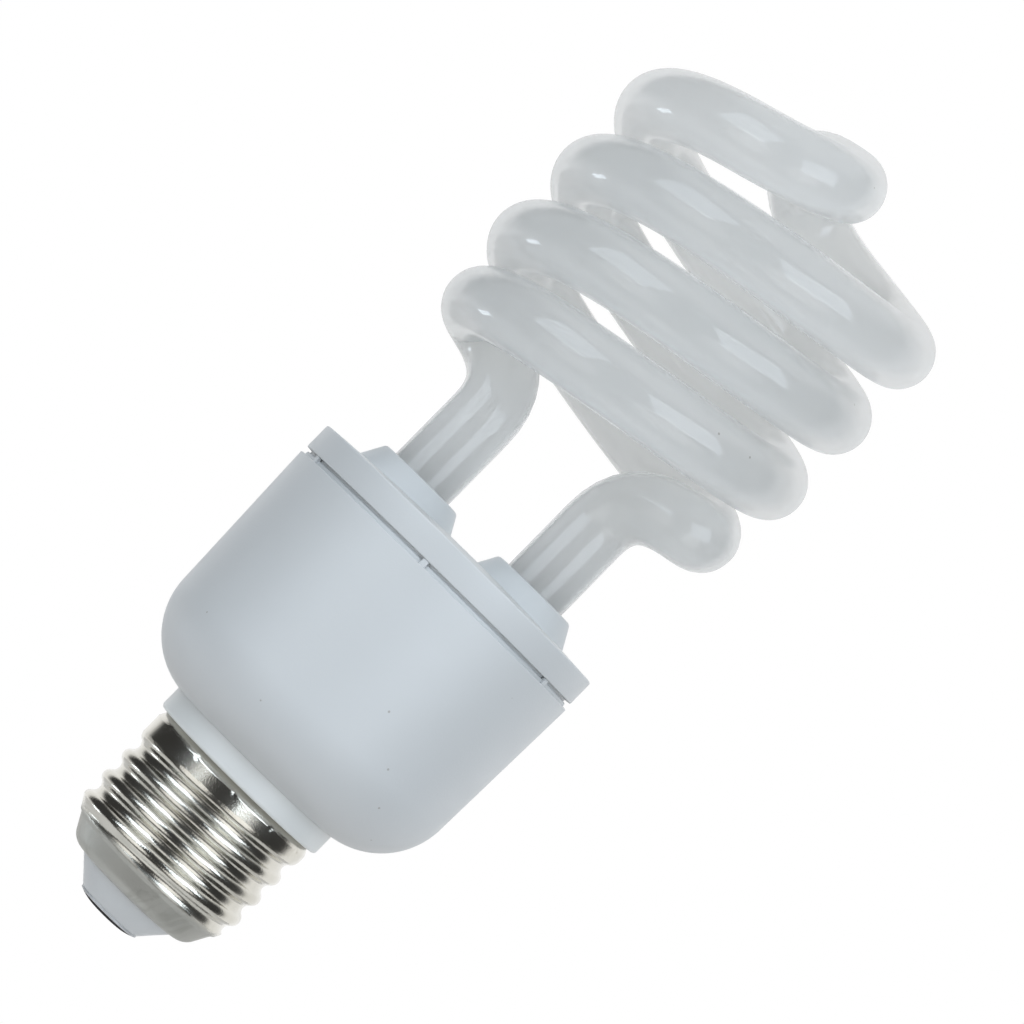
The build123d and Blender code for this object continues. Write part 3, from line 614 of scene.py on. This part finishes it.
# %% Sizes of the tube
tube_radius = 4.75
leg_place = 10.2
pinch_height = 3.4
leg_foot = tube_foot + pinch_height
leg_top = leg_foot + 20.0
coil_radius = 22.25
coil_pitch = 23.65
helix_foot = leg_top + 14.5
helix_turn = 510
helix_step = 30
hook_bend = 10.0
hook_inset = 1.45
hook_rises = (9.45, 10.2)
hook_reaches = (12.9, 10.4)
hook_slopes = (0.19, 0.115)
side_reach = 12.0
bridge_height = tube_top - tube_radius
bridge_turn = math.radians(118.5)
bridge_reach = 14.0
crossing_reach = 13.5
pinch_width = 7.6
pinch_thickness = 2.4
rings_per_segment = 16
round_resolution = 48


def helix_point(angle):
    """A point of the helix and its direction, by the angle in degrees."""
    turn = math.radians(angle)
    height = helix_foot + coil_pitch * (angle - 90) / 360
    place = Vector((coil_radius * math.cos(turn), coil_radius * math.sin(turn), height))
    heading = Vector((-coil_radius * math.sin(turn), coil_radius * math.cos(turn), coil_pitch / math.tau))
    return place, heading


def strand_knots(rise, reach, slope):
    """Curve knots of one strand as (place, pull back, pull on), from its foot to the end of its helix."""
    up = Vector((0, 0, 1))
    leg_end = Vector((leg_place, 0, leg_top))
    hook_end = Vector((coil_radius - hook_inset, 0, leg_top + rise))
    hook_heading = Vector((0, 1, slope)).normalized()
    straight = (leg_top - leg_foot) / 3
    knots = [
        (Vector((leg_place, 0, leg_foot)), up * straight, up * straight),
        (leg_end, up * straight, up * hook_bend),
        (hook_end, hook_heading * reach, hook_heading * side_reach),
    ]
    pull = 4 / 3 * math.tan(math.radians(helix_step) / 4)
    for angle in range(90, 90 + helix_turn + 1, helix_step):
        place, heading = helix_point(angle)
        knots.append((place, heading * pull, heading * pull))
    first, last = knots[3], knots[-1]
    knots[3] = (first[0], first[1].normalized() * side_reach, first[2])
    knots[-1] = (last[0], last[1], last[2].normalized() * bridge_reach)
    return knots


# %% Bend the tube
half_turn = Matrix.Rotation(math.pi, 3, "Z")
right, left = [strand_knots(*hook) for hook in zip(hook_rises, hook_reaches, hook_slopes)]
left = [(half_turn @ place, half_turn @ back, half_turn @ on) for place, back, on in left]
over = Vector((math.cos(bridge_turn), math.sin(bridge_turn), 0)) * crossing_reach
knots = right + [(Vector((0, 0, bridge_height)), over, over)]
knots += [(place, -on, -back) for place, back, on in reversed(left)]

bpy.ops.object.select_all(action="DESELECT")
bpy.ops.curve.primitive_bezier_curve_add()
glass_tube = bpy.context.object
glass_tube.name = "glass_tube"
glass_tube.data.splines.clear()
strand = glass_tube.data.splines.new("BEZIER")
strand.bezier_points.add(len(knots) - 1)
for point, (place, back, on) in zip(strand.bezier_points, knots):
    point.handle_left_type = point.handle_right_type = "FREE"
    point.co = place * MM
    point.handle_left = (place - back) * MM
    point.handle_right = (place + on) * MM
strand.resolution_u = rings_per_segment
glass_tube.data.dimensions = "3D"
glass_tube.data.bevel_depth = tube_radius * MM
glass_tube.data.bevel_resolution = round_resolution
glass_tube.data.use_fill_caps = True
bpy.ops.object.convert(target="MESH")
glass_tube = bpy.context.object
print("tube knots:", len(knots), "faces:", len(glass_tube.data.polygons))

# %% Pinch the ends flat
# Each leg ends in a flat pinch under the cover, where the wires are sealed in.
bpy.ops.object.mode_set(mode="EDIT")
bpy.ops.mesh.select_all(action="SELECT")
bpy.ops.mesh.remove_doubles(threshold=merge_distance)
bpy.ops.mesh.normals_make_consistent(inside=False)
bpy.ops.object.mode_set(mode="OBJECT")
for side in (-1, 1):
    bpy.ops.object.mode_set(mode="EDIT")
    bpy.ops.mesh.select_mode(type="FACE")
    bpy.ops.mesh.select_all(action="DESELECT")
    bpy.ops.object.mode_set(mode="OBJECT")
    for face in glass_tube.data.polygons:
        at_foot = face.center.z < (leg_foot + 0.1) * MM and face.normal.z < -0.9
        face.select = at_foot and face.center.x * side > 0
    bpy.ops.object.mode_set(mode="EDIT")
    pinch_place = (side * leg_place * MM, 0, (leg_foot - pinch_height) * MM)
    bpy.ops.mesh.extrude_region_move(TRANSFORM_OT_translate={"value": (0, 0, -pinch_height * MM)})
    pinch_scale = (pinch_thickness / tube_radius / 2, pinch_width / tube_radius / 2, 1)
    bpy.ops.transform.resize(value=pinch_scale, center_override=pinch_place)
    bpy.ops.object.mode_set(mode="OBJECT")
dress(glass_tube, "spiral_tube", opal_glass, smooth_angle=50)

# %% [markdown]
# # The cover with its sockets
# The cover is a low dome with a straight edge, and a skirt that snaps into the case. Two conical sockets
# stand on it and hold the legs. The dome is spun, the sockets are cones that are joined to it, and the
# bores are cut through both.

# %% Spin the cover
cover_radius = 23.75
cover_edge = cover_foot + 3.8
cover_round = 0.3
cover_dome = 0.85
cover_wall = 1.9
skirt_radius = 22.861
skirt_wall = 1.25
socket_height = socket_top - cover_edge
socket_foot_radius = 8.3
socket_top_radius = 6.35
socket_round = 0.35
socket_clearance = 0.1
socket_bore = tube_radius + socket_clearance
socket_sides = 96
drill_length = 30
edge_ease = 0.18
dome_start = 0.3

shoulder = cover_radius - cover_round
dome_sphere = (shoulder**2 + cover_dome**2) / (2 * cover_dome)
dome_angle = math.degrees(math.asin(shoulder / dome_sphere))
dome_centre = (0, cover_edge + cover_dome - dome_sphere)
plate_foot = cover_edge - cover_wall
skirt_bore = skirt_radius - skirt_wall
cover_outline = [
    (skirt_bore, plate_foot),
    (skirt_bore, skirt_foot),
    (skirt_radius, skirt_foot),
    (skirt_radius, cover_foot),
    *arc((cover_radius - edge_ease, cover_foot + edge_ease), edge_ease, -90, 0, 4),
    *arc((shoulder, cover_edge - cover_round), cover_round, 0, 90 - dome_angle, 8),
    *arc(dome_centre, dome_sphere, 90 - dome_angle + dome_start, 90, 24),
    (0, plate_foot),
]
tube_cover = spin_outline("tube_cover", cover_outline, 160)
print("cover faces:", len(tube_cover.data.polygons))

# %% Raise the sockets and bore them
socket_slope = (socket_foot_radius - socket_top_radius) / socket_height
socket_sink = 1.0
for side in (-1, 1):
    bpy.ops.object.select_all(action="DESELECT")
    socket_tall = socket_height + socket_sink
    bpy.ops.mesh.primitive_cone_add(
        vertices=socket_sides,
        radius1=(socket_foot_radius + socket_slope * socket_sink) * MM,
        radius2=socket_top_radius * MM,
        depth=socket_tall * MM,
        location=(side * leg_place * MM, 0, (cover_edge + socket_height - socket_tall / 2) * MM),
    )
    socket = bpy.context.object
    bpy.ops.object.transform_apply(location=True, rotation=True, scale=True)
    apply_modifier(socket, "BEVEL", width=socket_round * MM, segments=4, angle_limit=math.radians(40))
    apply_modifier(tube_cover, "BOOLEAN", operation="UNION", solver="EXACT", object=socket)
    bpy.data.objects.remove(socket)
for side in (-1, 1):
    bpy.ops.object.select_all(action="DESELECT")
    bpy.ops.mesh.primitive_cylinder_add(
        vertices=socket_sides,
        radius=socket_bore * MM,
        depth=drill_length * MM,
        location=(side * leg_place * MM, 0, cover_edge * MM),
    )
    drill = bpy.context.object
    bpy.ops.object.transform_apply(location=True, rotation=True, scale=True)
    apply_modifier(tube_cover, "BOOLEAN", operation="DIFFERENCE", solver="EXACT", object=drill)
    bpy.data.objects.remove(drill)
dress(tube_cover, "tube_holder", case_plastic)

# %% [markdown]
# # The ballast case
# The case is one moulding: a collar that stands on the cap, a large round, a side that opens by a degree
# or two, and a rim with a low bead along its inside. Its neck reaches down into the cap. Six small lugs on
# the rim keep the seam under the cover open.

# %% Spin the case
seam_gap = 0.9
collar_radius = 13.75
collar_foot = shell_rim
collar_top = collar_foot + 3.2
collar_round = 0.5
collar_ease = 0.05
case_round = 10.9
case_side_radius = 23.15
case_round_place = case_side_radius - case_round
case_round_height = collar_top + math.sqrt(case_round**2 - (collar_radius - case_round_place) ** 2)
case_round_centre = (case_round_place, case_round_height)
case_rim = cover_foot - seam_gap
case_rim_radius = 23.875
case_wall = 1.6
lip_radius = 22.961
board_ledge = case_rim - 8.0
ledge_radius = 22.01
rim_rise = 0.5
bead_radius = 23.22
bead_ease = 0.08
neck_radius = 11.65
neck_bore = 10.35
crimp_radius = 12.2
crimp_foot = shell_rim - 2.4
crimp_slope = 0.4

round_start = math.degrees(math.asin((collar_top - case_round_centre[1]) / case_round))
case_outline = [
    (neck_bore, neck_foot),
    (neck_radius, neck_foot),
    (neck_radius, crimp_foot),
    (crimp_radius, crimp_foot + crimp_slope),
    (crimp_radius, collar_foot),
    *arc((collar_radius - collar_round, collar_foot + collar_round), collar_round, -90, 0, 5),
    (collar_radius, collar_top - collar_ease),
    *arc(case_round_centre, case_round, round_start, 0, 40),
    *arc((case_rim_radius - edge_ease, case_rim - edge_ease), edge_ease, 0, 90, 5),
    (bead_radius + bead_ease, case_rim),
    (bead_radius, case_rim + rim_rise - bead_ease),
    (bead_radius - bead_ease, case_rim + rim_rise),
    (lip_radius, case_rim + rim_rise),
    (lip_radius, board_ledge),
    (ledge_radius, board_ledge),
    (case_side_radius - case_wall, case_round_centre[1]),
    *arc(case_round_centre, case_round - case_wall, -10, -90, 16),
    (neck_bore, case_round_centre[1] - case_round + case_wall),
]
ballast_case = spin_outline("ballast_case", case_outline, 192)
print("case faces:", len(ballast_case.data.polygons))

# %% Set the lugs on the rim
lug_count = 6
lug_turn = -95.8
lug_width = 0.9
lug_depth = 0.6
lug_root = 0.4
lug_inset = 0.1
lug_ease = 0.12
for number in range(lug_count):
    bpy.ops.object.select_all(action="DESELECT")
    lug_height = seam_gap + lug_root
    lug_out = (lip_radius + case_rim_radius) / 2 - lug_inset
    lug_place = Vector((lug_out, 0, case_rim + (seam_gap - lug_root) / 2)) * MM
    bpy.ops.mesh.primitive_cube_add(size=1, location=lug_place)
    lug = bpy.context.object
    lug.scale = (lug_depth * MM, lug_width * MM, lug_height * MM)
    bpy.ops.object.transform_apply(location=True, rotation=True, scale=True)
    apply_modifier(lug, "BEVEL", width=lug_ease * MM, segments=2)
    lug.rotation_euler.z = math.radians(lug_turn + 360 * number / lug_count)
    bpy.ops.object.transform_apply(location=True, rotation=True, scale=True)
    apply_modifier(ballast_case, "BOOLEAN", operation="UNION", solver="EXACT", object=lug)
    bpy.data.objects.remove(lug)
dress(ballast_case, "ballast_housing", case_plastic)
# The collar's faces get the paler colour, part of which is painted light against the shade under the case's
# round.
ballast_case.data.materials.append(painted_light_collar)
for face in ballast_case.data.polygons:
    if face.center.z < collar_top * MM:
        face.material_index = 1

# %% [markdown]
# # The screw shell
# The shell is thin nickel-plated sheet. Rollers press a round thread into it, so the same wave shows inside
# and outside. The groove fades out under a plain band. The rim above it is bent in over the case's neck and
# held by punch marks, and the foot closes in a rounded bowl round the insulator. The plain form is spun as a
# fine grid first. Then each point moves in or out by the thread's wave, the bent rim and the punch marks,
# and the sheet gets its thickness last.

# %% Sizes of the shell
crest_radius = 13.1
root_radius = 12.05
thread_pitch = 3.63
bowl_top = shell_foot + 4.15
thread_start = bowl_top - 0.7
wave_foot = bowl_top - 0.6
crest_inset = 0.05
bowl_foot_radius = 9.75
bowl_round = 2.5
mouth_radius = 7.95
notched_foot = shell_rim - 2.2
sheet = 0.3
run_out_foot = bowl_top - 0.45
run_out_height = 1.75
groove_top = shell_rim - 3.15
groove_fade = 0.5
punch_count = 12
punch_turn = -85.7
punch_height = shell_rim - 1.1
punch_depth = 0.09
punch_width = 0.36
punch_sharpness = 1.5
lean_height = shell_rim - 1.0
lean_depth = 0.58
lean_droop = 0.15


def thread_wave(offset):
    """Height of the round thread over its root, by the distance along the axis from its crest."""
    quarter = thread_pitch / 4
    half_depth = (crest_radius - crest_inset - root_radius) / 2
    bend = (quarter**2 + half_depth**2) / (2 * half_depth)
    away = abs((offset + thread_pitch / 2) % thread_pitch - thread_pitch / 2)
    if away < quarter:
        return 2 * half_depth - bend + math.sqrt(bend**2 - away**2)
    return bend - math.sqrt(bend**2 - (thread_pitch / 2 - away) ** 2)


def shell_surface(radius, height, turn):
    """Radius of the shell at a place of the plain form, with thread, bent rim and punch marks."""
    degrees = math.degrees(turn) % 360
    if height > wave_foot:
        along = height - thread_start - thread_pitch * degrees / 360
        groove_place = height - along % thread_pitch + thread_pitch / 2
        depth = min(max((groove_top - groove_place) / groove_fade, 0), 1)
        wave = crest_radius + (root_radius + thread_wave(along) - crest_radius) * depth
        run_out = root_radius + (crest_radius - root_radius) * (height - run_out_foot) / run_out_height
        radius = max(radius, min(wave, run_out))
    between = (degrees - punch_turn) / 360 * punch_count % 1
    lean_foot = lean_height - lean_droop * math.sin(math.pi * between)
    if height > lean_foot:
        radius -= lean_depth * (height - lean_foot) / (shell_rim - lean_foot)
    across = min(between, 1 - between) * 2 * math.pi * radius / punch_count
    spread = (across / punch_width) ** 2 + ((height - punch_height) / punch_width) ** 2
    return radius - punch_depth * math.exp(-spread * punch_sharpness)


def even_rows(start, end, count):
    """Points from one (radius, height) to another, without the last."""
    share = [step / count for step in range(count)]
    return [(start[0] + (end[0] - start[0]) * s, start[1] + (end[1] - start[1]) * s) for s in share]


# %% Press the shell
bowl_slope = math.atan2(bowl_top - shell_foot, root_radius - bowl_foot_radius)
bowl_centre = (bowl_foot_radius - bowl_round * math.tan(bowl_slope / 2), shell_foot + bowl_round)
bowl_arc = arc(bowl_centre, bowl_round, -90, math.degrees(bowl_slope) - 90, 10)
shell_outline = [
    (mouth_radius, shell_foot),
    *bowl_arc,
    *even_rows(bowl_arc[-1], (root_radius, bowl_top), 10)[1:],
    *even_rows((root_radius, bowl_top), (root_radius, notched_foot), 94),
    *even_rows((root_radius, notched_foot), (root_radius, shell_rim), 24),
    (root_radius, shell_rim),
]
cap_shell = spin_outline("cap_shell", shell_outline, 324, closed=False)
for vertex in cap_shell.data.vertices:
    plain = math.hypot(vertex.co.x, vertex.co.y)
    turn = math.atan2(vertex.co.y, vertex.co.x)
    pressed = shell_surface(plain / MM, vertex.co.z / MM, turn) * MM
    vertex.co.x *= pressed / plain
    vertex.co.y *= pressed / plain
apply_modifier(cap_shell, "SOLIDIFY", thickness=sheet * MM, offset=-1)
dress(cap_shell, "screw_shell", cap_nickel, smooth_angle=45)

# %% [markdown]
# # The insulator and the contact
# A smooth cone of pale plastic fills the shell's mouth. A low domed plate on its tip is the lamp's second
# contact. Its lower rounding is painted near black, as painted shade for the dark line along its rim. Both
# are spun.

# %% Spin the insulator and the contact
contact_radius = 4.8
contact_height = insulator_foot
contact_flat = 2.0
contact_edge = 0.22
# The painted shade covers the contact from just above its lowest point up to this height.
shade_band_foot = 0.01
shade_band_top = 0.5
insulator_waist = 7.85
wire_bore = 0.8
plug_radius = 9.45
mouth_drop = 0.05
seat_height = shell_foot + 0.35
seat_step = 0.5
plug_foot = shell_foot + 1.75
insulator_ease = 0.06
cone_middle = ((contact_radius + insulator_waist) / 2, (insulator_foot + shell_foot) / 2)
insulator_outline = [
    (wire_bore, insulator_foot),
    (contact_radius, insulator_foot),
    cone_middle,
    (insulator_waist, shell_foot - mouth_drop),
    (insulator_waist, seat_height),
    (insulator_waist + seat_step, seat_height),
    (plug_radius, plug_foot),
    (plug_radius, insulator_top),
    (wire_bore, insulator_top),
]
insulator_cone = spin_outline("insulator_cone", insulator_outline, 128)
apply_modifier(
    insulator_cone, "BEVEL", width=insulator_ease * MM, segments=2, angle_limit=math.radians(25)
)
dress(insulator_cone, "cap_insulator", insulator_plastic)

dome_reach = contact_radius - contact_flat
dome_rise = contact_height - contact_edge
contact_sphere = (dome_reach**2 + dome_rise**2) / (2 * dome_rise)
contact_angle = math.degrees(math.asin(dome_reach / contact_sphere))
contact_outline = [
    (0, 0),
    *arc((contact_flat, contact_sphere), contact_sphere, -90, contact_angle - 90, 14),
    (contact_radius, contact_height),
    (0, contact_height),
]
contact_plate = spin_outline("contact_plate", contact_outline, 96)
dress(contact_plate, "centre_contact", contact_nickel)
# Faces of the lower rounding get the painted shade.
contact_plate.data.materials.append(contact_painted_shade)
for face in contact_plate.data.polygons:
    if shade_band_foot * MM < face.center.z < shade_band_top * MM:
        face.material_index = 1

# %% [markdown]
# # Finishes inside the case
# The ballast can't be seen from outside, but it is in the part, so its pieces get plain finishes of their
# own: paper board, grey ferrite, black mouldings, copper, tinned wire and the coats of the small parts.

# %% Mix and assign the inner finishes
inner_finishes = {
    "cement": finish("cement", (0.62, 0.60, 0.55), (0.52, 0.50, 0.46), 900, 2500, (0.8, 0.95), 0.5),
    "board": finish("board", (0.36, 0.24, 0.11), (0.31, 0.20, 0.09), 300, 2500, (0.45, 0.6), 0.2),
    "ferrite": finish("ferrite", (0.05, 0.05, 0.055), (0.08, 0.08, 0.085), 700, 3500, (0.5, 0.7), 0.4),
    "moulding": finish("moulding", (0.03, 0.03, 0.03), (0.04, 0.04, 0.04), 400, 3000, (0.35, 0.5), 0.2),
    "copper": finish(
        "copper", (0.62, 0.24, 0.10), (0.54, 0.19, 0.08), 900, 3000, (0.2, 0.3), 0.3, metallic=1.0
    ),
    "tinned_wire": finish(
        "tinned_wire", (0.66, 0.66, 0.65), (0.55, 0.55, 0.54), 800, 3000, (0.22, 0.35), 0.2, metallic=1.0
    ),
    "sleeve": finish("sleeve", (0.02, 0.025, 0.04), (0.03, 0.035, 0.05), 300, 2500, (0.3, 0.4), 0.1),
    "film_coat": finish("film_coat", (0.33, 0.05, 0.03), (0.27, 0.04, 0.025), 300, 2500, (0.25, 0.35), 0.2),
    "resistor_coat": finish(
        "resistor_coat", (0.55, 0.42, 0.26), (0.48, 0.36, 0.22), 500, 2500, (0.4, 0.5), 0.2
    ),
    "wire_cover": finish("wire_cover", (0.55, 0.55, 0.53), (0.48, 0.48, 0.46), 300, 2500, (0.4, 0.5), 0.1),
}
node_slots = {row["node"]: row["material_slot"] for row in frame["record"]["subparts"]}
for node, slot in sorted(node_slots.items()):
    if slot in inner_finishes:
        bare = frame["nodes"][node]
        bare.data.materials.clear()
        bare.data.materials.append(inner_finishes[slot])
print("inner nodes:", sum(slot in inner_finishes for slot in node_slots.values()))
